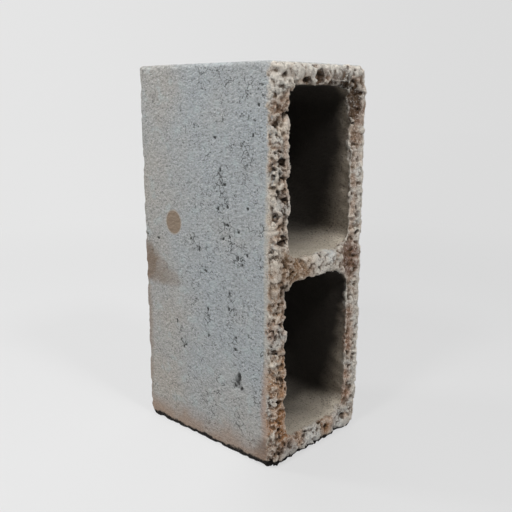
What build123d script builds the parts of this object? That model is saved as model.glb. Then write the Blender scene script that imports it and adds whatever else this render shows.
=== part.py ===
"""Hollow two-core concrete masonry block, 390 x 190 x 140 mm, standing on one end.

One cast piece. The row frame has its origin at the middle of the end that the block stands on:
+Z runs along the block's length, X along the cores, from the smoother bed face that lay on the
mould's pallet (-X) to the coarse open bed face (+X), and Y across the wall's thickness, with the
smooth face shell of the photograph at -Y.
"""

from build123d import *
import os
from math import sqrt

# Overall size, as the block is laid: along the wall, between its bed joints, through the wall
length = 390.0
height = 190.0
thickness = 140.0

# Walls at the coarse bed face, where the cores are widest
shell_open = 20.5
end_web_open = 21.5
mid_web_open = 23.0
core_corner_open = 20.0

# Walls at the pallet bed face: the cores narrow towards it, so that their bars draw out
shell_pallet = 25.0
end_web_pallet = 26.0
mid_web_pallet = 31.0
core_corner_pallet = 16.0

# The core bars stood slightly off the mould's middle, towards the smooth shell and the upper end
core_shift_across = -1.5
core_shift_along = 1.5

# Wear: outer arrises, the crumbled mouths of the coarse bed face, the sharper ones of the other
arris_round = 3.0
mouth_round_open = 3.0
mouth_round_pallet = 1.5

# Broken corners: how far the break reaches back from the corner along X, Y and Z
foot_break_far = (9.0, 7.0, 14.0)
foot_break_right = (8.0, 11.0, 15.0)
head_break_right = (8.0, 9.0, 9.0)


def core_section(x, shell, end_web, mid_web, corner, side):
    """A core's rounded outline on the bed plane at x; side is -1 for the lower core, 1 for the upper."""
    core_width = thickness - 2 * shell
    core_length = (length - 2 * end_web - mid_web) / 2
    middle = length / 2 + core_shift_along + side * (mid_web + core_length) / 2
    bed_plane = Plane(origin=(x, core_shift_across, middle), x_dir=(0, 1, 0), z_dir=(1, 0, 0))
    return bed_plane * RectangleRounded(core_width, core_length, corner)


def core(side):
    """The tapered hole that one core bar leaves, from bed face to bed face."""
    narrow = core_section(
        -height / 2, shell_pallet, end_web_pallet, mid_web_pallet, core_corner_pallet, side
    )
    wide = core_section(height / 2, shell_open, end_web_open, mid_web_open, core_corner_open, side)
    return loft([narrow, wide], ruled=True)


def mouth_edges(body, x):
    """The edges of both core mouths on the bed face at x."""
    bed_face = body.faces().filter_by(Axis.X).sort_by(Axis.X)[-1 if x > 0 else 0]
    return [edge for wire in bed_face.inner_wires() for edge in wire.edges()]


def break_corner(body, toward, reach):
    """Takes one corner off along a plane; toward gives the corner's direction from the middle."""
    corner = Vector(toward[0] * height / 2, toward[1] * thickness / 2, (toward[2] + 1) * length / 2)
    slope = Vector(*(way / far for way, far in zip(toward, reach)))
    on_break = corner - Vector(toward[0] * reach[0], 0, 0)
    return split(body, bisect_by=Plane(origin=on_break, z_dir=slope), keep=Keep.BOTTOM)


def concrete_block():
    block = Pos(0, 0, length / 2) * Box(height, thickness, length)
    block = fillet(block.edges(), arris_round)
    for side in (-1, 1):
        block -= core(side)
    block = fillet(mouth_edges(block, height / 2), mouth_round_open)
    block = fillet(mouth_edges(block, -height / 2), mouth_round_pallet)
    block = break_corner(block, (-1, -1, -1), foot_break_far)
    block = break_corner(block, (1, 1, -1), foot_break_right)
    return break_corner(block, (1, 1, 1), head_break_right)


def largest_box(core_width, core_length, corner):
    """Half sizes of the straight-sided box that clears a core outline's rounded corners."""
    inset = corner * (1 - 1 / sqrt(2))
    return core_width / 2 - inset, core_length / 2 - inset


if __name__ == "__main__":
    os.makedirs("parts", exist_ok=True)
    export_step(concrete_block(), "parts/concrete_block.step")
    half_width, half_length = largest_box(
        thickness - 2 * shell_pallet,
        (length - 2 * end_web_pallet - mid_web_pallet) / 2,
        core_corner_pallet,
    )
    print("clear way through each core, mm:", round(2 * half_width, 1), "x", round(2 * half_length, 1))
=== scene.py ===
"""Dresses the hollow concrete block: the bare aggregate of its coarse bed face, its crumbled core mouths,
its weathered face shells, stains and broken corners, with painted light and shade in its pits, hollows,
bites and cores and along its foot, and with a floor, lamps and a camera."""

import math

import bmesh
import bpy
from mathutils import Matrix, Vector


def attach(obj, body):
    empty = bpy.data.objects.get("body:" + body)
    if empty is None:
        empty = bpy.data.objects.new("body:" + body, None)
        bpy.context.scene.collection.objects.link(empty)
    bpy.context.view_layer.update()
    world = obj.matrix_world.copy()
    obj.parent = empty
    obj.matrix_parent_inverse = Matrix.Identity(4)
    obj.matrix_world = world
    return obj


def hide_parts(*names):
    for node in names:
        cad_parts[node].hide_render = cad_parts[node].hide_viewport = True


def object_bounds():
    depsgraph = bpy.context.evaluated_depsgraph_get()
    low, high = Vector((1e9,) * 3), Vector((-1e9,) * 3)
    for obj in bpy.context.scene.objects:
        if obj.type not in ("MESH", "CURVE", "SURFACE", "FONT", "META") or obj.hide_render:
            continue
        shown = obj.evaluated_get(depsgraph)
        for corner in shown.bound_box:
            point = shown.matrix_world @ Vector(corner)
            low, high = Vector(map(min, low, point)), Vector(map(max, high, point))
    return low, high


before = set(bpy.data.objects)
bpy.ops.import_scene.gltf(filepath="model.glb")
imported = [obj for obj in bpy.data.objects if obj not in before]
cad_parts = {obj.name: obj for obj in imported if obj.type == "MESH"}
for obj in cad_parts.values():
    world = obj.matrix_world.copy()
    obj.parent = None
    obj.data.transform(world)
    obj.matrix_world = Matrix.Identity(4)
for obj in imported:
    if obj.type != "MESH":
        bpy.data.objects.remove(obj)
cad_low, cad_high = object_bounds()

# Lengths are in millimetres, as the block is measured, and MM turns them into the scene's metres
MM = 0.001
NODE = "concrete_block"
half_height = cad_high.x / MM
half_thickness = cad_high.y / MM
block_length = cad_high.z / MM

# The skin: how finely it is made, and the triangles that it may keep
merge_distance = 0.01
first_voxel = 1.25
skin_voxel = 0.85
triangle_budget = 194_000

# Bare aggregate of the coarse bed face
bed_recess = 0.9
lump_height = 4.2
stone_size = 5.0
stone_spacing = 16.0
gravel_size = 3.0
gravel_spacing = 9.0
most_stones_per_square_metre = 400_000.0
mouth_wander = 2.0
near_shell_bulge = 2.0
far_shell_loss = 3.3
far_arris_gain = 2.0
seed = 4

# Fine relief of the finished skin, and how many times its points are averaged to read their height
grain_height = 1.15
void_depth = 2.8
seam_depth = 1.3
pinhole_depth = 1.7
relief_rounds = 8
hollow_rounds = 60

# Where the cores lie along the block
mid_web_middle = 197.0
lower_core_floor = 22.0
core_pitch = 186.0

# Where one part of the block gives way to another, from none of it to all of it
core_wall_line = (13.0, 17.0)
worn_edge_line = (4.5, 0.5)
top_web_line = (block_length - 24.0, block_length - 12.0)
mid_web_line = (17.0, 11.0)
bottom_web_line = (24.0, 16.0)
lower_webs_line = (-52.0, -30.0)
far_shell_line = (40.0, 50.0)
near_mouth_line = (-42.0, -48.0)
far_mouth_line = (40.0, 46.0)
upper_core_line = (195.0, 200.0)

# How deep a spot reaches behind its face, on the coarse bed and on the smooth shell
bed_spot_depth = 14.0
shell_spot_depth = 6.0
pinhole_reach = 3.0
tan_spot_depth = 4.0

# Bites out of the coarse bed face: place along Y and Z, half width, half height, depth
bites = (
    (-5, 376, 5.5, 7.0, 6.0),
    (-68, 380, 4.0, 4.0, 3.0),
    (-56, 377, 4.0, 3.5, 3.0),
    (-66, 336, 2.5, 3.0, 3.0),
    (-55, 340, 2.5, 3.0, 3.0),
    (-72, 142, 4.0, 5.0, 4.0),
    (-72, 97, 4.0, 4.0, 4.0),
    (-60, 68, 4.0, 4.0, 3.0),
    (-69, 250, 4.0, 6.0, 3.0),
    (54, 352, 6.0, 16.0, 4.5),
    (50, 320, 4.0, 14.0, 3.0),
    (50, 14, 3.5, 3.5, 4.0),
    (12, 210, 8.0, 3.0, 2.5),
    (14, 371, 6.0, 3.0, 4.0),
    (34, 369, 7.0, 4.5, 5.0),
    (48, 356, 3.5, 6.0, 5.0),
    (-24, 373, 5.0, 3.0, 4.0),
    (-48, 360, 4.0, 5.0, 3.0),
    (-58, 300, 5.0, 4.0, 4.0),
    (-52, 176, 5.0, 6.0, 4.0),
    (-66, 118, 3.5, 6.0, 4.5),
    (-56, 228, 3.0, 4.0, 3.5),
)

# The larger pinholes of the smooth face shell: place along X and Z, half width, half height
pinholes = (
    (49, 85, 2.8, 4.6),
    (43, 75, 3.8, 3.2),
    (52, 74, 2.2, 3.0),
    (47, 79, 3.4, 3.4),
    (-7, 208, 1.9, 3.2),
    (34, 238, 2.4, 2.0),
    (21, 253, 1.8, 3.0),
    (34, 256, 2.4, 2.4),
    (18, 321, 2.4, 1.6),
    (25, 291, 1.6, 2.6),
    (61, 257, 1.8, 1.8),
    (68, 325, 1.6, 2.4),
    (75, 352, 1.7, 1.9),
    (-44, 124, 1.8, 2.8),
    (2, 187, 2.6, 2.0),
    (37, 227, 1.8, 1.8),
    (49, 233, 1.8, 1.5),
    (-71, 211, 2.8, 1.4),
    (36, 170, 1.5, 2.0),
    (-34, 97, 1.4, 2.4),
    (31, 277, 2.6, 1.7),
    (-91, 213, 3.4, 1.9),
    (-19, 218, 1.7, 1.7),
    (28, 224, 2.0, 2.3),
    (54, 202, 1.5, 1.5),
    (60, 212, 1.5, 1.9),
    (48, 207, 2.0, 2.4),
    (35, 153, 1.7, 2.5),
    (4, 147, 1.7, 3.0),
    (5, 119, 1.7, 2.5),
    (43, 113, 2.3, 2.2),
    (-30, 100, 2.0, 1.7),
    (45, 126, 1.7, 1.7),
)

# Patches of the smooth face shell where cracks and specks crowd: X, Z, half width, half height
cracked_patches = (
    (-10, 214, 9, 9),
    (33, 232, 12, 10),
    (48, 208, 9, 9),
    (40, 160, 7, 14),
    (4, 135, 5, 16),
    (44, 115, 9, 12),
    (-36, 105, 6, 14),
    (25, 272, 8, 24),
    (60, 310, 10, 16),
    (50, 35, 8, 8),
)

# Stains of the smooth face shell, and two dark greys that paint shade into its cluster of large pinholes:
# place along X and Z, half sizes, strength, colour
shell_stains = (
    ((-90, 184), (17, 20), 0.66, (104, 84, 66)),
    ((-76, 176), (20, 16), 0.4, (112, 94, 78)),
    ((-55, 170), (20, 9), 0.4, (118, 104, 90)),
    ((-95, 110), (9, 95), 0.45, (128, 106, 90)),
    ((87, 160), (5, 150), 0.5, (172, 164, 150)),
    ((88, 60), (9, 50), 0.45, (150, 112, 86)),
    ((92, 10), (22, 20), 0.6, (70, 52, 42)),
    # The next two rows are painted shade over the cluster of large pinholes, not stains
    ((47, 80), (4.5, 6.5), 0.55, (58, 58, 57)),
    ((49, 86), (2.5, 5), 0.6, (48, 48, 47)),
)

# The smooth tan spot of that shell: place along X and Z, half sizes, and its rings: share, colour
tan_spot = (-45.5, 231.5)
tan_spot_half = (12.6, 13.4)
tan_rings = ((1.0, (156, 150, 142)), (0.9, (128, 113, 98)))

# Rust-brown spots of the coarse bed face, and dark spots that paint shade into the bites along its top:
# place along Y and Z, reach, strength, colour
rust_spots = (
    ((-62, 350), 8, 0.75, (132, 92, 60)),
    ((-66, 338), 5, 0.75, (104, 76, 54)),
    ((-72, 142), 9, 0.75, (138, 92, 58)),
    ((-43, 204), 15, 0.8, (138, 104, 70)),
    ((-20, 197), 9, 0.75, (120, 88, 62)),
    ((52, 194), 15, 0.85, (112, 72, 52)),
    ((-68, 89), 8, 0.75, (150, 108, 68)),
    ((-60, 60), 9, 0.75, (148, 106, 66)),
    ((-52, 35), 12, 0.75, (150, 108, 68)),
    ((-62, 14), 12, 0.75, (110, 78, 54)),
    ((47, 61), 9, 0.75, (136, 90, 56)),
    ((52, 110), 8, 0.75, (128, 88, 60)),
    ((59, 369), 8, 0.75, (112, 84, 62)),
    ((62, 343), 9, 0.75, (140, 92, 58)),
    ((58, 318), 7, 0.75, (120, 88, 62)),
    ((13, 18), 8, 0.75, (124, 96, 72)),
    # The next seven rows sit in the bites along the top: the near-black ones are painted shade, the dark
    # browns partly rust and partly painted shade
    ((44, 364), 10, 0.9, (52, 42, 36)),
    ((18, 371), 8, 0.9, (70, 56, 46)),
    ((-22, 373), 7, 0.75, (84, 66, 54)),
    ((50, 345), 7, 0.9, (64, 50, 40)),
    ((0, 376), 9, 0.85, (78, 60, 50)),
    ((34, 370), 11, 0.92, (32, 27, 23)),
    ((51, 356), 8, 0.9, (32, 27, 23)),
    ((50, 96), 8, 0.8, (128, 82, 50)),
    ((50, 132), 8, 0.7, (112, 76, 50)),
    ((50, 40), 9, 0.8, (140, 90, 54)),
    ((-64, 176), 12, 0.6, (132, 98, 66)),
    ((-30, 192), 14, 0.6, (150, 112, 72)),
    ((6, 204), 18, 0.7, (222, 217, 208)),
    ((-16, 208), 9, 0.5, (218, 206, 188)),
    ((20, 206), 8, 0.5, (178, 188, 192)),
    # These two sit in the bite near Y 54, Z 352: partly rust, partly painted shade
    ((56, 346), 9, 0.75, (62, 48, 40)),
    ((58, 362), 7, 0.7, (66, 52, 44)),
    ((-60, 380), 12, 0.6, (188, 182, 172)),
    ((-51, 104), 9, 0.7, (164, 112, 60)),
    ((-53, 78), 10, 0.75, (168, 114, 60)),
    ((-55, 50), 11, 0.8, (164, 110, 58)),
    ((-46, 27), 12, 0.85, (158, 106, 58)),
    ((-26, 20), 9, 0.6, (166, 114, 64)),
    ((20, 20), 12, 0.6, (168, 116, 68)),
    ((-44, 7), 12, 0.6, (184, 189, 190)),
    ((-8, 9), 13, 0.65, (206, 209, 208)),
    ((38, 10), 13, 0.6, (196, 199, 198)),
)


def srgb(red, green, blue):
    """A colour written as screen values from 0 to 255, as linear light."""
    values = [channel / 255 for channel in (red, green, blue)]
    return tuple(v / 12.92 if v <= 0.04045 else ((v + 0.055) / 1.055) ** 2.4 for v in values) + (1.0,)


class Value:
    """A socket of a node tree. Arithmetic on it adds Math nodes."""

    def __init__(self, tree, socket):
        self.tree = tree
        self.socket = socket

    def __add__(self, other):
        return self.tree.math("ADD", self, other)

    def __sub__(self, other):
        return self.tree.math("SUBTRACT", self, other)

    def __rsub__(self, other):
        return self.tree.math("SUBTRACT", other, self)

    def __mul__(self, other):
        return self.tree.math("MULTIPLY", self, other)

    def __truediv__(self, other):
        return self.tree.math("DIVIDE", self, other)

    __radd__ = __add__
    __rmul__ = __mul__


class Tree:
    """Adds nodes to one shader or geometry node tree, where every length is in millimetres."""

    def __init__(self, node_tree):
        self.node_tree = node_tree

    @staticmethod
    def pick(sockets, name):
        """The socket of that name or place, among those that the node's settings leave in use."""
        in_use = [socket for socket in sockets if not socket.is_unavailable]
        if isinstance(name, int):
            return in_use[name]
        return next(socket for socket in in_use if socket.name == name)

    def feed(self, socket, value):
        """Links a value to a socket, each value of a list in turn, or sets a plain number or colour."""
        if isinstance(value, Value):
            self.node_tree.links.new(value.socket, socket)
        elif isinstance(value, list):
            for one in value:
                self.feed(socket, one)
        else:
            socket.default_value = value

    def node(self, kind, settings, values, output=0):
        """One node: its settings first, then what its sockets hold, by name or place."""
        node = self.node_tree.nodes.new(kind)
        for name, setting in settings.items():
            if name == "stops":
                while len(node.color_ramp.elements) < len(setting):
                    node.color_ramp.elements.new(1.0)
                for element, (place, colour) in zip(node.color_ramp.elements, setting):
                    element.position = place
                    element.color = colour
            else:
                setattr(node, name, setting)
        for name, value in values.items():
            self.feed(self.pick(node.inputs, name), value)
        return Value(self, self.pick(node.outputs, output)) if node.outputs else None

    def math(self, operation, *values):
        return self.node("ShaderNodeMath", {"operation": operation}, dict(enumerate(values)))

    def lowest(self, first, *others):
        for other in others:
            first = self.math("MINIMUM", first, other)
        return first

    def highest(self, first, *others):
        for other in others:
            first = self.math("MAXIMUM", first, other)
        return first

    def size_of(self, value):
        return self.math("ABSOLUTE", value)

    def vector(self, operation, *values, output=0):
        return self.node("ShaderNodeVectorMath", {"operation": operation}, dict(enumerate(values)), output)

    def scaled(self, vector, factor):
        return self.node("ShaderNodeVectorMath", {"operation": "SCALE"}, {0: vector, "Scale": factor})

    def split(self, vector):
        """The three parts of a vector or colour."""
        parts = self.node("ShaderNodeSeparateXYZ", {}, {0: vector})
        return [Value(self, socket) for socket in parts.socket.node.outputs]

    def joined(self, x, y, z):
        return self.node("ShaderNodeCombineXYZ", {}, {0: x, 1: y, 2: z})

    def step(self, value, none, full):
        """0 where value is at none, 1 where it is at full, and smooth between."""
        return self.node(
            "ShaderNodeMapRange",
            {"interpolation_type": "SMOOTHSTEP"},
            {"Value": value, "From Min": none, "From Max": full, "To Min": 0.0, "To Max": 1.0},
        )

    def noise(self, place, size, detail=2.0, roughness=0.5, output=0):
        """Smooth chance values about 0.5, whose lumps are about that many millimetres across."""
        values = {"Vector": place, "Scale": 1 / size, "Detail": detail, "Roughness": roughness}
        return self.node("ShaderNodeTexNoise", {}, values, output)

    def wave(self, place, size, detail=2.0, roughness=0.5):
        """The same chance values about 0, from about -1 to 1."""
        return (self.noise(place, size, detail, roughness) - 0.5) * 3.0

    def warped(self, place, size, reach, detail=2.0):
        """The place shifted by chance, so that a pattern read there loses its regular shapes."""
        shift = self.scaled(self.noise(place, size, detail, output="Color"), reach)
        return self.vector("ADD", place, shift)

    def dragged(self, place, share):
        """The place squeezed along X, so that a pattern read there is drawn out along the shell."""
        return self.vector("MULTIPLY", place, (share, 1.0, 1.0))

    def cells(self, place, size, output="Distance", feature="F1"):
        """Scattered cells of about that size: the distance to the nearest centre, or its chance colour."""
        values = {"Vector": place, "Scale": 1 / size, "Randomness": 1.0}
        return self.node("ShaderNodeTexVoronoi", {"feature": feature}, values, output)

    def facets(self, place, size, tilt):
        """Broken faces of about that size, each sloping its own way: height in millimetres about 0."""
        away = self.vector("SUBTRACT", place, self.cells(place, size, "Position"))
        slope = self.vector("SUBTRACT", self.cells(place, size, "Color"), (0.5, 0.5, 0.5))
        return self.vector("DOT_PRODUCT", away, slope, output="Value") * tilt

    def mix(self, factor, first, second):
        """The first colour where the factor is 0, the second where it is 1."""
        return self.node(
            "ShaderNodeMix", {"data_type": "RGBA"}, {"Factor": factor, "A": first, "B": second}
        )

    def near(self, place, spot, wobble, softness):
        """1 inside a spot (centre, half sizes), 0 outside, with an edge that wobbles by chance."""
        centre, reach = spot
        offset = self.vector("SUBTRACT", place, centre)
        share = self.vector("LENGTH", self.vector("DIVIDE", offset, reach), output="Value")
        return self.step(share + wobble, 1.0 + softness / 2, 1.0 - softness / 2)


class Zones:
    """Where a point of the block lies, worked out from its place: its distance behind the coarse bed
    face, from the nearer bed face, from the nearer end and from the outside, and what part it is on."""

    def __init__(self, tree, place):
        self.x, self.y, self.z = tree.split(place)
        self.behind = half_height - self.x
        self.depth = tree.lowest(self.behind, 2 * half_height - self.behind)
        self.from_end = tree.lowest(self.z, block_length - self.z)
        from_shell = half_thickness - tree.size_of(self.y)
        self.inset = tree.lowest(from_shell, self.from_end)
        self.in_core = tree.step(self.inset, *core_wall_line)

        corner = tree.lowest(tree.highest(self.depth, self.inset), tree.highest(from_shell, self.from_end))
        self.edge = tree.step(corner, *worn_edge_line)

        top_web = tree.step(self.z, *top_web_line)
        mid_web = tree.step(tree.size_of(self.z - mid_web_middle), *mid_web_line)
        bottom_web = tree.step(self.z, *bottom_web_line)
        lower_webs = tree.highest(mid_web, bottom_web) * tree.step(self.y, *lower_webs_line)
        far_shell = tree.step(self.y, *far_shell_line)
        self.fine = tree.highest(top_web, far_shell * 0.75, lower_webs * 0.45)


def bed_spot(across, up, half_width, half_tall):
    """A spot of the coarse bed face: its centre and half sizes."""
    return (half_height, across, up), (bed_spot_depth, half_width, half_tall)


def shell_spot(across, up, half_width, half_tall, depth=shell_spot_depth):
    """A spot of the smooth face shell: its centre and half sizes."""
    return (across, -half_thickness, up), (half_width, depth, half_tall)


class GeometryTree(Tree):
    """A Geometry Nodes tree with named inputs, and the modifier that runs it."""

    def __init__(self, name, numbers):
        super().__init__(bpy.data.node_groups.new(name, "GeometryNodeTree"))
        self.numbers = numbers
        face = self.node_tree.interface
        face.new_socket(name="Geometry", in_out="INPUT", socket_type="NodeSocketGeometry")
        kinds = {int: "NodeSocketInt", float: "NodeSocketFloat"}
        for title, number in numbers.items():
            face.new_socket(name=title, in_out="INPUT", socket_type=kinds[type(number)])
        face.new_socket(name="Material", in_out="INPUT", socket_type="NodeSocketMaterial")
        face.new_socket(name="Geometry", in_out="OUTPUT", socket_type="NodeSocketGeometry")
        self.entry = self.node_tree.nodes.new("NodeGroupInput")
        self.position = self.node("GeometryNodeInputPosition", {}, {})
        self.normal = self.node("GeometryNodeInputNormal", {}, {})
        self.place = self.scaled(self.position, 1 / MM)
        self.zones = Zones(self, self.place)

    def given(self, title):
        """One of the tree's named inputs."""
        return Value(self, self.entry.outputs[title])

    def push(self, geometry, along, distance):
        """Moves points along a direction by a distance in millimetres."""
        offset = self.scaled(self.scaled(along, distance), MM)
        return self.node("GeometryNodeSetPosition", {}, {"Geometry": geometry, "Offset": offset})

    def keep(self, geometry, name, value):
        """Stores a value on the points, for the material to read."""
        settings = {"data_type": "FLOAT", "domain": "POINT"}
        values = {"Geometry": geometry, "Name": name, "Value": value}
        return self.node("GeometryNodeStoreNamedAttribute", settings, values)

    def finish(self, geometry):
        """Ends the tree: instances made real, and the given material on everything."""
        real = self.node("GeometryNodeRealizeInstances", {}, {"Geometry": geometry})
        dressed = self.node(
            "GeometryNodeSetMaterial", {}, {"Geometry": real, "Material": self.given("Material")}
        )
        self.node("NodeGroupOutput", {}, {"Geometry": dressed})

    def run_on(self, obj, material):
        """Adds the modifier that runs the tree on an object, with its inputs filled in."""
        modifier = obj.modifiers.new(self.node_tree.name, "NODES")
        modifier.node_group = self.node_tree
        given = {**self.numbers, "Material": material}
        for item in self.node_tree.interface.items_tree:
            if item.in_out == "INPUT" and item.name in given:
                modifier[item.identifier] = given[item.name]


def bitten(tree):
    """How deep the bites go at each place of the coarse bed face."""
    depth = 0.0
    wobble = tree.wave(tree.place, 5.0) * 0.3
    for *spot, deepest in bites:
        depth = depth + deepest * tree.near(tree.place, bed_spot(*spot), wobble, 0.6)
    return depth


def bare_zone(tree, bite):
    """1 where the cement skin is gone, 0 where it is left: a ragged line a few millimetres from the bed."""
    near_edge = 2.6 * tree.step(tree.zones.y, -half_thickness + 7.0, -half_thickness + 1.0)
    wander = tree.wave(tree.place, 16.0) * 4.0 + tree.wave(tree.place, 4.5) * 2.6
    reach = 3.8 + near_edge + 1.5 * bite
    return tree.step(tree.zones.behind + wander, reach + 2.7, reach)


def mouth_growth(tree):
    """How far the core mouths' walls stand out: they wander, swell at the near shell and sink at the far."""
    place, zones = tree.place, tree.zones
    by_mouth = tree.step(zones.behind, 30.0, 5.0) * zones.in_core
    wander = (tree.wave(place, 24.0) + tree.wave(place, 9.0) * 0.35) * tree.given("Mouth wander")
    upper = 0.3 + 0.7 * tree.step(zones.z, 190.0, 225.0)
    bulge = near_shell_bulge * upper * tree.step(zones.y, *near_mouth_line)
    loss = far_shell_loss * tree.step(zones.y, *far_mouth_line)
    return (wander + bulge - loss) * by_mouth


def arris_loss(tree):
    """How much has crumbled off the coarse face's arrises: most at the near shell, least at the far."""
    place, zones = tree.place, tree.zones
    near_arris = tree.step(zones.y, -half_thickness + 9.0, -half_thickness)
    far_arris = tree.step(zones.y, half_thickness - 12.0, half_thickness - 5.0)
    on_arris = tree.step(zones.inset, 7.0, 0.5) * tree.step(zones.behind, 12.0, 1.0)
    crumble = (tree.noise(place, 9.0, 3.0) * (1.6 + 3.4 * near_arris) + 0.2) * on_arris
    off_ends = tree.step(zones.from_end, 14.0, 26.0)
    return crumble - far_arris_gain * far_arris * tree.step(zones.behind, 16.0, 4.0) * off_ends


def broken_lumps(tree):
    """Height of the broken mortar: sloping faces of three sizes, pockets between them, tops worn flat."""
    place = tree.place
    warped = tree.warped(place, 9.0, 14.0, 3.0)
    broken = tree.facets(warped, 15.0, 0.1) + tree.facets(warped, 8.5, 0.2)
    lump = broken + tree.facets(place, 4.8, 0.13) + tree.wave(place, 9.0, 4.0, 0.6) * 0.7
    pocket = tree.step(tree.noise(place, 11.0, 4.0, 0.6), 0.44, 0.30)
    lump = (lump - 0.5 * pocket) * tree.given("Lump height") * (0.5 + tree.noise(place, 30.0))
    return tree.math("SMOOTH_MIN", lump * (1.0 - 0.6 * tree.zones.fine), 0.9, 1.0)


def scattered(tree, skin, bare, title, number):
    """Rounded stones of one size, part sunk in the bare face, each turned and stretched by chance."""
    size = tree.given(title + " size")
    random_seed = tree.given("Seed") + 10 * number
    points = tree.node(
        "GeometryNodeDistributePointsOnFaces",
        {"distribute_method": "POISSON"},
        {
            "Mesh": skin,
            "Distance Min": tree.given(title + " spacing") * MM,
            "Density Max": most_stones_per_square_metre,
            "Density Factor": bare,
            "Seed": random_seed,
        },
    )
    outward = Value(tree, points.socket.node.outputs["Normal"])

    def chance(low, high, step):
        kind = "FLOAT_VECTOR" if isinstance(low, tuple) else "FLOAT"
        values = {"Min": low, "Max": high, "Seed": random_seed + step}
        return tree.node("FunctionNodeRandomValue", {"data_type": kind}, values)

    points = tree.push(points, outward, chance(-0.55, -0.1, 1) * size)
    ball = tree.node("GeometryNodeMeshIcoSphere", {}, {"Radius": 0.5 * MM, "Subdivisions": 1}, "Mesh")
    stretch = tree.scaled(chance((0.8, 0.7, 0.5), (1.3, 1.1, 1.0), 2), size * chance(0.6, 1.5, 3))
    turn = chance((0.0, 0.0, 0.0), (math.tau, math.tau, math.tau), 4)
    values = {"Points": points, "Instance": ball, "Rotation": turn, "Scale": stretch}
    stones = tree.node("GeometryNodeInstanceOnPoints", {}, values)
    return tree.node("GeometryNodeRealizeInstances", {}, {"Geometry": stones})


def coarse_bed_tree():
    """Opens the coarse bed face: recess, wandering mouths, crumbled arrises and bare stones."""
    tree = GeometryTree(
        "coarse bed",
        {
            "Bed recess": bed_recess,
            "Mouth wander": mouth_wander,
            "Lump height": lump_height,
            "Stone size": stone_size,
            "Stone spacing": stone_spacing,
            "Gravel size": gravel_size,
            "Gravel spacing": gravel_spacing,
            "Seed": seed,
        },
    )
    place, zones = tree.place, tree.zones
    swell = tree.wave(place, 60.0) * 0.4
    worn = tree.step(tree.noise(place, 14.0, 4.0), 0.46, 0.66) * 2.8
    growth = swell + mouth_growth(tree) - arris_loss(tree) - worn * zones.edge
    skin = tree.push(tree.given("Geometry"), tree.normal, growth)

    bite = bitten(tree)
    recess = tree.given("Bed recess") * (0.5 + tree.noise(place, 18.0)) + bite
    skin = tree.push(skin, (-1.0, 0.0, 0.0), recess * tree.step(zones.behind, 9.0, 2.0))

    openness = 0.35 + 0.65 * bare_zone(tree, bite)
    lump = broken_lumps(tree) * tree.step(zones.behind, 10.0, 4.0) * openness
    skin = tree.push(skin, tree.normal, lump)

    on_bed = tree.step(zones.behind, 8.0, 4.0)
    pieces = [skin]
    for number, (title, share) in enumerate((("Stone", 1.0 - 0.75 * zones.fine), ("Gravel", 1.0))):
        pieces.append(scattered(tree, skin, on_bed * share, title, number))
    tree.finish(tree.node("GeometryNodeJoinGeometry", {}, {"Geometry": pieces}))
    return tree


def grain(tree, bare):
    """Grain of the skin: strong on bare stones, weaker on the worn mouths, faint on the cement skin."""
    place, zones = tree.place, tree.zones
    worn_mouth = tree.step(zones.behind, 22.0, 6.0) * zones.in_core
    rough = 0.09 + 0.2 * worn_mouth * (1.0 - bare) + bare * (0.91 - 0.35 * zones.fine)
    height = tree.wave(place, 5.0, 5.0, 0.68) + tree.facets(place, 3.6, 0.25) * bare
    return tree.math("SMOOTH_MIN", height * tree.given("Grain"), 0.55, 0.6) * rough


def holes(tree, place, spacing, least, spread, floor_share, rarity):
    """1 in round holes strewn by chance; their radii, least to least + spread, are shares of the spacing."""
    width, presence, _ = tree.split(tree.cells(place, spacing, "Color"))
    radius = least + spread * width
    hole = tree.step(tree.cells(place, spacing), radius, radius * floor_share)
    return hole * tree.step(presence, rarity, rarity + 0.04)


def shell_pinholes(tree, bare):
    """1 in the pinholes of the cement skin: small ones by chance, and the larger ones at their places."""
    place = tree.place
    crowd = tree.step(tree.noise(place, 40.0), 0.35, 0.6)
    pinhole = holes(tree, place, 8.5, 0.05, 0.08, 0.3, 0.80) * (1.0 - bare) * crowd
    front = tree.step(tree.zones.y, -half_thickness + 4.0, -half_thickness + 2.0)
    wobble = tree.wave(place, 2.6, 3.0, 0.6) * 0.7 + 0.15
    for spot in pinholes:
        larger = tree.near(place, shell_spot(*spot, depth=pinhole_reach), wobble, 0.8)
        pinhole = tree.highest(pinhole, larger * front)
    return pinhole


def stored_readings(tree, skin, bare):
    """Stores what the material reads of each point: its height over what is around, and its zone."""
    for name, rounds in (("relief", relief_rounds), ("hollow", hollow_rounds)):
        values = {"Value": tree.position, "Iterations": rounds}
        around = tree.node("GeometryNodeBlurAttribute", {"data_type": "FLOAT_VECTOR"}, values)
        offset = tree.vector("SUBTRACT", tree.position, around)
        proud = tree.vector("DOT_PRODUCT", offset, tree.normal, output="Value")
        skin = tree.keep(skin, name, proud / MM)
    skin = tree.keep(skin, "bare", bare)
    skin = tree.keep(skin, "upward", tree.split(tree.normal)[2])
    off_pallet = tree.step(tree.zones.x, -half_height + 1.2, -half_height + 3.0)
    return tree.keep(skin, "inside", tree.zones.in_core * off_pallet)


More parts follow.
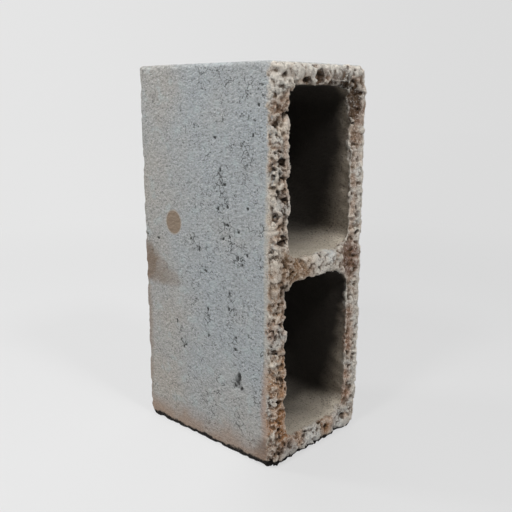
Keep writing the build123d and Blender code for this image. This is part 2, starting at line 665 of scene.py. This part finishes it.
def fine_relief_tree():
    """Grain, voids and pinholes of the fused skin, and what the material has to know of each point."""
    tree = GeometryTree(
        "fine relief",
        {
            "Grain": grain_height,
            "Void depth": void_depth,
            "Seam depth": seam_depth,
            "Pinhole depth": pinhole_depth,
        },
    )
    place, zones = tree.place, tree.zones
    facing = tree.step(tree.split(tree.normal)[0], 0.25, 0.6) * tree.step(zones.behind, 16.0, 12.0)
    bare = tree.highest(bare_zone(tree, bitten(tree)), facing)

    warped = tree.warped(place, 4.0, 6.0)
    void = holes(tree, warped, 11.0, 0.12, 0.20, 0.35, 0.76) * bare
    seam = tree.step(tree.cells(warped, 7.5, feature="DISTANCE_TO_EDGE"), 0.12, 0.02)
    seam = seam * tree.step(tree.noise(place, 12.0), 0.50, 0.62) * bare * (1.0 - 0.5 * zones.fine)
    down = void * tree.given("Void depth") + seam * tree.given("Seam depth")
    down = down + shell_pinholes(tree, bare) * tree.given("Pinhole depth")
    skin = tree.push(tree.given("Geometry"), tree.normal, grain(tree, bare) - down)

    x, y, z = tree.split(tree.position)
    on_floor = tree.joined(x, y, tree.highest(z, 0.0))
    skin = tree.node("GeometryNodeSetPosition", {}, {"Geometry": skin, "Position": on_floor})
    tree.finish(stored_readings(tree, skin, bare))
    return tree


def evaluated_mesh(obj, name):
    """The object's mesh with its modifiers applied, as a mesh of its own."""
    graph = bpy.context.evaluated_depsgraph_get()
    graph.update()
    mesh = bpy.data.meshes.new_from_object(obj.evaluated_get(graph), depsgraph=graph)
    mesh.name = name
    obj.modifiers.clear()
    obj.data = mesh
    return mesh


def voxel_skin(obj, voxel):
    """Fuses all that the object holds so far into one closed skin."""
    modifier = obj.modifiers.new("skin", "REMESH")
    modifier.mode = "VOXEL"
    modifier.voxel_size = voxel * MM
    modifier.use_smooth_shade = True


def triangles(mesh):
    return sum(len(face.vertices) - 2 for face in mesh.polygons)


def drop_crumbs(mesh):
    """Keeps the block's own skin and deletes the loose slivers that thinning leaves beside it."""
    skin = bmesh.new()
    skin.from_mesh(mesh)
    unseen = set(skin.verts)
    islands = []
    while unseen:
        front = [unseen.pop()]
        island = []
        while front:
            corner = front.pop()
            island.append(corner)
            beside = {edge.other_vert(corner) for edge in corner.link_edges} & unseen
            unseen -= beside
            front.extend(beside)
        islands.append(island)
    for crumb in sorted(islands, key=len)[:-1]:
        bmesh.ops.delete(skin, geom=crumb, context="VERTS")
    skin.to_mesh(mesh)
    skin.free()


def merged_cad_mesh():
    """A copy of the CAD solid's mesh whose loose triangles are joined at their corners."""
    cad = bmesh.new()
    cad.from_mesh(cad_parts[NODE].data)
    bmesh.ops.remove_doubles(cad, verts=cad.verts, dist=merge_distance * MM)
    mesh = bpy.data.meshes.new("block_skin")
    cad.to_mesh(mesh)
    cad.free()
    return mesh


def block_skin(material):
    """One closed skin for the whole block, from the CAD solid's own shape."""
    block = bpy.data.objects.new("block_skin", merged_cad_mesh())
    bpy.context.scene.collection.objects.link(block)
    voxel_skin(block, first_voxel)
    coarse_bed_tree().run_on(block, material)
    voxel_skin(block, skin_voxel)
    fine_relief_tree().run_on(block, material)
    mesh = evaluated_mesh(block, "block_skin")
    thin = block.modifiers.new("thin", "DECIMATE")
    thin.ratio = triangle_budget / triangles(mesh)
    mesh = evaluated_mesh(block, "block_skin")
    drop_crumbs(mesh)
    mesh.shade_smooth()
    return block


# Colours of the cement skin
cool_paste = srgb(151, 156, 158)
warm_paste = srgb(158, 153, 145)
pale_worm = srgb(186, 185, 184)
dark_worm = srgb(96, 97, 97)
smooth_paste = srgb(160, 169, 169)
dark_speck = srgb(64, 64, 64)
pale_speck = srgb(200, 199, 196)
crack_grey = srgb(58, 59, 58)
# Painted shade in the pits of the cement skin
pit_painted_shade = srgb(52, 51, 50)
foot_dust = srgb(142, 118, 100)

# Colours of the bare aggregate; its grains take their tone by a chance value from 0 to 1
grain_tones = [
    (0.0, srgb(214, 203, 187)),
    (0.35, srgb(186, 171, 153)),
    (0.6, srgb(222, 216, 206)),
    (0.85, srgb(174, 154, 132)),
    (1.0, srgb(162, 156, 145)),
]
dark_mortar = srgb(152, 134, 115)
pale_mortar = srgb(230, 221, 208)
grey_stone = srgb(180, 180, 176)
rust_brown = srgb(158, 110, 66)
dark_grit = srgb(62, 51, 41)
pale_grit = srgb(222, 216, 206)
# Painted highlight on the proud tops
painted_top_highlight = srgb(222, 214, 202)
# Painted shade in the hollows
hollow_painted_shade = srgb(104, 80, 58)
mottle_brown = srgb(84, 66, 49)
# Painted shade in the crevices
crevice_painted_shade = srgb(30, 23, 17)

# Colours of the cores' walls, of their ledges painted paler as if lit, of the painted shade deep in the
# cores, and of the painted shade along the foot
dark_wall = srgb(92, 82, 70)
pale_wall = srgb(136, 126, 112)
# Paler copies of the wall colours for faces that look up: painted light
dark_lit_ledge = srgb(164, 154, 138)
pale_lit_ledge = srgb(204, 194, 178)
wall_speck = srgb(44, 38, 33)
# Painted shade deep in the cores
core_painted_shade = srgb(24, 20, 16)
# Painted shade along the foot, where the block meets the floor
foot_shade_black = srgb(20, 16, 14)


class ConcreteTree(Tree):
    """The concrete's shader tree, with the place and zone of a point and what the skin stores of it."""

    def __init__(self, node_tree):
        super().__init__(node_tree)
        self.place = self.scaled(self.node("ShaderNodeTexCoord", {}, {}, "Object"), 1 / MM)
        self.zones = Zones(self, self.place)
        self.bare = self.stored("bare")
        self.inside = self.stored("inside")
        self.relief = self.stored("relief")
        self.hollow = self.stored("hollow")
        self.upward = self.step(self.stored("upward"), -0.1, 1.0)

    def stored(self, name):
        """A value that the fine relief stored on the skin's points."""
        settings = {"attribute_type": "GEOMETRY", "attribute_name": name}
        return self.node("ShaderNodeAttribute", settings, {}, "Fac")


def cement_paste(tree, smooth_patch):
    """Cool and warm clouds of grey cement, with worm-like mottling and smoother patches."""
    place, zones = tree.place, tree.zones
    far = tree.step(zones.x, 10.0, -85.0)
    low = tree.step(zones.z, 170.0, 0.0)
    warm = tree.step(tree.noise(place, 70.0, 4.0) * 0.8 + 0.30 * far + 0.2 * low, 0.30, 0.95)
    paste = tree.mix(warm, cool_paste, warm_paste)
    worm = tree.noise(tree.dragged(place, 0.75), 2.4, 4.0, 0.7)
    paste = tree.mix(tree.step(worm, 0.52, 0.72) * 0.5, paste, pale_worm)
    paste = tree.mix(tree.step(worm, 0.48, 0.30) * 0.65, paste, dark_worm)
    return tree.mix(smooth_patch * 0.4, paste, smooth_paste)


def specked(tree, paste, rough_patch):
    """Dark and pale specks over the cement, most where it is rough."""
    speck = tree.noise(tree.dragged(tree.place, 0.65), 1.5, 3.0, 0.65)
    paste = tree.mix(tree.step(speck, 0.45, 0.31) * rough_patch, paste, dark_speck)
    return tree.mix(tree.step(speck, 0.58, 0.72) * rough_patch * 0.5, paste, pale_speck)


def hair_cracks(tree, crowd, wobble):
    """1 in the cement skin's hair cracks, which crowd in some patches of the shell."""
    place = tree.place
    wrinkled = tree.warped(place, 3.0, 4.0)
    crack = tree.step(tree.cells(wrinkled, 6.5, feature="DISTANCE_TO_EDGE"), 0.09, 0.02)
    patch = 0.0
    for spot in cracked_patches:
        patch = tree.highest(patch, tree.near(place, shell_spot(*spot), wobble, 0.9))
    broken = tree.step(tree.noise(place, 6.0, 4.0, 0.6) + 0.10 * patch, 0.52, 0.60)
    return crack * broken * (0.2 + 0.8 * tree.highest(crowd, patch))


def shell_stained(tree, paste, wobble):
    """The stains of the smooth face shell at their places, with the painted shade over its pinhole cluster,
    and its tan spot.
    """
    for place, half_sizes, strength, colour in shell_stains:
        stain = tree.near(tree.place, shell_spot(*place, *half_sizes), wobble, 0.7)
        paste = tree.mix(stain * strength, paste, srgb(*colour))
    for share, colour in tan_rings:
        half_sizes = (share * half for half in tan_spot_half)
        ring = shell_spot(*tan_spot, *half_sizes, depth=tan_spot_depth)
        paste = tree.mix(tree.near(tree.place, ring, wobble * 0.1, 0.12), paste, srgb(*colour))
    return paste


def smooth_shell_colour(tree):
    """Grey cement skin: mottled paste, specks, hair cracks, painted shade in its pits, stains and a dusty
    foot.
    """
    place, zones = tree.place, tree.zones
    smooth_patch = tree.step(tree.noise(place, 14.0, 3.0), 0.54, 0.66)
    crowd = tree.step(tree.noise(place, 22.0), 0.42, 0.60) * (0.35 + 0.65 * tree.step(zones.x, -50.0, 0.0))
    rough_patch = (1.0 - 0.75 * smooth_patch) * (0.55 + 0.45 * crowd)
    wobble = tree.wave(place, 10.0, 3.0) * 0.25
    paste = specked(tree, cement_paste(tree, smooth_patch), rough_patch)
    paste = tree.mix(hair_cracks(tree, crowd, wobble) * 0.85, paste, crack_grey)
    # Painted shade: pits lower than the skin around them are darkened
    paste = tree.mix(tree.step(tree.relief, -0.08, -0.5) * 0.85, paste, pit_painted_shade)
    paste = shell_stained(tree, paste, wobble)
    foot = tree.step(zones.z + tree.wave(place, 22.0) * 9.0, 34.0, 4.0)
    return tree.mix(foot * 0.75, paste, foot_dust)


def aggregate(tree):
    """Beige and grey grains in their mortar, greyer in some clouds and where the face is fine."""
    place = tree.place
    chance = tree.split(tree.cells(place, 6.0, "Color"))[0]
    tone = tree.node("ShaderNodeValToRGB", {"stops": grain_tones}, {"Fac": chance})
    mortar = tree.mix(tree.noise(place, 8.0, 4.0, 0.6), dark_mortar, pale_mortar)
    grey = tree.step(tree.noise(place, 24.0, 4.0, 0.6), 0.48, 0.62)
    grey = tree.highest(grey * 0.75, tree.zones.fine * 0.6)
    return tree.mix(grey, tree.mix(0.65, tone, mortar), grey_stone)


def rusted(tree, stone):
    """Rust-brown clouds and rims of the mouths, then the single spots at their places, the dark ones in the
    top bites being painted shade, partly rust.
    """
    place, zones = tree.place, tree.zones
    elsewhere = tree.vector("ADD", place, (90.0, 0.0, 0.0))
    stain = tree.step(tree.noise(elsewhere, 26.0, 4.0, 0.62), 0.50, 0.62)
    low_shell = tree.step(zones.z, 200.0, 60.0) * tree.step(zones.y, -30.0, -50.0)
    rim = tree.step(zones.inset, 24.0, 15.0) * tree.step(zones.inset, 9.0, 14.0)
    rim = rim * tree.step(tree.noise(place, 16.0, 3.0), 0.42, 0.55)
    brown = tree.highest(stain * (0.55 + 0.3 * low_shell) * (1.0 - 0.6 * zones.fine), rim * 0.45)
    stone = tree.mix(brown, stone, rust_brown)
    wobble = tree.wave(place, 5.0, 3.0) * 0.3
    for (across, up), reach, strength, colour in rust_spots:
        spot = bed_spot(across, up, reach, reach * 1.3)
        stone = tree.mix(tree.near(place, spot, wobble, 0.9) * strength, stone, srgb(*colour))
    return stone


def bare_stone_colour(tree):
    """Crumbled mortar and stones: rusted aggregate and grit, then painted highlight on the proud tops, brown
    painted shade in the hollows and black painted shade in the crevices.
    """
    place, zones = tree.place, tree.zones
    stone = rusted(tree, aggregate(tree))
    grit = tree.noise(place, 1.3, 3.0, 0.65)
    stone = tree.mix(tree.step(grit, 0.46, 0.32) * (0.85 - 0.25 * zones.fine), stone, dark_grit)
    stone = tree.mix(tree.step(grit, 0.54, 0.66) * 0.65, stone, pale_grit)
    # Painted highlight where the skin stands proud, painted shade where it lies low
    stone = tree.mix(tree.step(tree.hollow, 0.1, 1.6) * 0.45, stone, painted_top_highlight)
    stone = tree.mix(tree.step(tree.hollow, 0.3, -0.9) * 0.7, stone, hollow_painted_shade)
    mottle = tree.step(tree.noise(place, 5.0, 4.0, 0.65), 0.46, 0.30)
    stone = tree.mix(mottle * 0.7, stone, mottle_brown)
    # Painted shade in the narrow crevices and deep hollows
    narrow = tree.step(tree.relief, -0.35, -1.1) * 0.6
    crevice = tree.highest(narrow, tree.step(tree.hollow, -0.4, -1.9))
    return tree.mix(crevice * 0.86, stone, crevice_painted_shade)


def core_wall_colour(tree):
    """Walls of the cores: dark specks, ledges painted paler where they face up as painted light, and painted
    shade that deepens towards the middle of the cores, starting deeper in near their floors and on the
    ledges.
    """
    place, zones, upward = tree.place, tree.zones, tree.upward
    cloud = tree.noise(place, 14.0, 4.0)
    # Faces that look up take the paler ledge colours: painted light
    wall = tree.mix(upward, tree.mix(cloud, dark_wall, pale_wall), tree.mix(cloud, dark_lit_ledge, pale_lit_ledge))
    speck = tree.step(tree.noise(place, 1.8, 4.0, 0.65), 0.50, 0.28)
    wall = tree.mix(speck * 0.85, wall, wall_speck)
    # Painted shade: the walls darken with depth into the core, the shade starting deeper near the floors and
    # on the ledges
    upper_core = tree.step(zones.z, *upper_core_line)
    above_floor = zones.z - lower_core_floor - core_pitch * upper_core
    reach = 10.0 + 30.0 * tree.step(above_floor, 140.0, -10.0)
    reach = reach + upward * (32.0 + 10.0 * upper_core) + 10.0 * upper_core
    shaded = tree.step(zones.depth + tree.wave(place, 30.0) * 8.0, -12.0 * upward, reach)
    return tree.mix(shaded * 0.94, wall, core_painted_shade)


def painted_foot_shade(tree):
    """1 on the painted shade along the block's foot, where it meets the floor: a ragged line some
    millimetres over the floor.
    """
    zones = tree.zones
    by_corner = tree.step(zones.x - zones.y, 125.0, 165.0)
    bed_foot = tree.step(zones.y, -45.0, -15.0) * tree.step(zones.behind, 14.0, 4.0)
    line = zones.z + tree.wave(tree.place, 12.0, 4.0, 0.6) * 5.0 - 1.5 * by_corner + 1.6 * bed_foot
    return tree.step(line, 7.4, 5.0)


def concrete_bump(tree):
    """The finest grain, too small for the skin: even on the cement, coarser on the bare aggregate."""
    place = tree.place
    fine = tree.noise(tree.dragged(place, 0.75), 2.4, 3.0, 0.6) * 1.6
    wide = tree.noise(place, 5.5, 3.0, 0.6) * 1.6
    shell_height = (1.0 - 0.5 * tree.inside) * (fine + wide)
    bare_height = tree.noise(place, 2.4, 5.0, 0.72) * (4.2 - 1.6 * tree.zones.fine)
    height = shell_height + tree.bare * (bare_height - shell_height)
    return tree.node("ShaderNodeBump", {}, {"Strength": 1.0, "Distance": MM, "Height": height})


def emptied(owner):
    """The node tree of a material or world, switched on and cleared."""
    owner.use_nodes = True
    owner.node_tree.nodes.clear()
    return owner.node_tree


def concrete_material():
    """Cement skin outside, walls inside the cores painted dark towards their middle as shade, bare aggregate
    where the skin is gone, and painted shade along the foot.
    """
    material = bpy.data.materials.new("weathered concrete")
    tree = ConcreteTree(emptied(material))
    colour = tree.mix(tree.inside, smooth_shell_colour(tree), core_wall_colour(tree))
    colour = tree.mix(tree.bare, colour, bare_stone_colour(tree))
    # Painted shade along the foot
    colour = tree.mix(painted_foot_shade(tree), colour, foot_shade_black)
    values = {
        "Base Color": colour,
        "Roughness": 0.92,
        "Specular IOR Level": 0.25,
        "Normal": concrete_bump(tree),
    }
    shader = tree.node("ShaderNodeBsdfPrincipled", {}, values)
    tree.node("ShaderNodeOutputMaterial", {}, {"Surface": shader})
    return material


# The camera of the photograph, from the block's own corners: place, turn from +Y, downward tilt
camera_place = Vector((496.8, -526.5, 358.7))
camera_turn = 42.93
camera_tilt = 13.09
camera_lens = 48.09

# Soft lamps: name, turn from +X towards +Y, rise from the floor, distance, side, power
lamps = (
    ("bed lamp", -7, 50, 1600, 250, 19),
    ("shell lamp", -81, 48, 1600, 250, 15),
    ("side lamp", -152, 42, 1800, 300, 14),
    ("back fill", 125, 50, 2000, 1200, 9),
)

# The pale backdrop: the view's direction to the right, and the greys at the left and the right
view_right = (0.73, 0.68, 0.0)
left_grey = srgb(229, 229, 229)
right_grey = srgb(219, 219, 219)
room_light = (0.5, 0.51, 0.53, 1)
room_strength = 0.28

# The floor: half its side, its own grey, and where it has turned into the backdrop
floor_half = 6000.0
floor_grey = (0.6, 0.6, 0.6, 1)
floor_fade = (500.0, 1400.0)
least_fade = 0.82


def camera():
    """The camera that the photograph was taken with."""
    data = bpy.data.cameras.new("camera")
    data.lens = camera_lens
    data.sensor_width = 36.0
    data.clip_start = 0.01
    eye = bpy.data.objects.new("camera", data)
    eye.location = camera_place * MM
    eye.rotation_euler = (math.radians(90 - camera_tilt), 0, math.radians(camera_turn))
    bpy.context.scene.collection.objects.link(eye)
    bpy.context.scene.camera = eye


def soft_lamp(name, turn, rise, distance, side, power):
    """A square soft box aimed at the block's middle."""
    data = bpy.data.lights.new(name, "AREA")
    data.size = side * MM
    data.energy = power
    turn, rise = math.radians(turn), math.radians(rise)
    toward = Vector((math.cos(turn) * math.cos(rise), math.sin(turn) * math.cos(rise), math.sin(rise)))
    middle = Vector((0, 0, block_length / 2 * MM))
    lamp = bpy.data.objects.new(name, data)
    lamp.location = middle + toward * (distance * MM)
    lamp.rotation_euler = toward.to_track_quat("Z", "Y").to_euler()
    bpy.context.scene.collection.objects.link(lamp)


def backdrop(tree, direction):
    """The pale grey behind the block, a little lighter to the left of the photograph's view."""
    across = tree.vector("DOT_PRODUCT", tree.vector("NORMALIZE", direction), view_right, output="Value")
    return tree.mix(tree.step(across, -0.4, 0.4), left_grey, right_grey)


def surroundings():
    """The backdrop where the camera looks past the floor, and dim light from all round."""
    world = bpy.data.worlds.new("studio")
    bpy.context.scene.world = world
    tree = Tree(emptied(world))
    rays = tree.node("ShaderNodeLightPath", {}, {}, "Is Camera Ray")
    direction = tree.node("ShaderNodeTexCoord", {}, {}, "Generated")
    dim = tree.node("ShaderNodeBackground", {}, {"Color": room_light, "Strength": room_strength})
    seen = tree.node("ShaderNodeBackground", {}, {"Color": backdrop(tree, direction)})
    both = tree.node("ShaderNodeMixShader", {}, {0: rays, 1: dim, 2: seen})
    tree.node("ShaderNodeOutputWorld", {}, {"Surface": both})


def floor_material():
    """A pale floor that takes the block's shadow and fades into the backdrop."""
    material = bpy.data.materials.new("pale floor")
    tree = Tree(emptied(material))
    place = tree.node("ShaderNodeTexCoord", {}, {}, "Object")
    away = tree.vector("LENGTH", place, output="Value")
    fade = least_fade + (1.0 - least_fade) * tree.step(away, *(limit * MM for limit in floor_fade))
    glow = tree.node("ShaderNodeEmission", {}, {"Color": backdrop(tree, place)})
    plain = tree.node("ShaderNodeBsdfDiffuse", {}, {"Color": floor_grey})
    rays = tree.node("ShaderNodeLightPath", {}, {}, "Is Camera Ray")
    both = tree.node("ShaderNodeMixShader", {}, {0: fade * rays, 1: plain, 2: glow})
    tree.node("ShaderNodeOutputMaterial", {}, {"Surface": both})
    return material


def floor_sheet():
    """The floor that the block stands on, which is not part of it."""
    mesh = bpy.data.meshes.new("floor")
    sheet = bmesh.new()
    bmesh.ops.create_grid(sheet, x_segments=1, y_segments=1, size=floor_half * MM)
    sheet.to_mesh(mesh)
    sheet.free()
    mesh.materials.append(floor_material())
    floor = bpy.data.objects.new("floor", mesh)
    bpy.context.scene.collection.objects.link(floor)


def studio():
    """Surroundings, lamps and floor."""
    surroundings()
    for lamp in lamps:
        soft_lamp(*lamp)
    floor_sheet()


camera()
studio()
block = block_skin(concrete_material())
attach(block, "root")
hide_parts(NODE)

bpy.context.scene.view_settings.view_transform = "Standard"
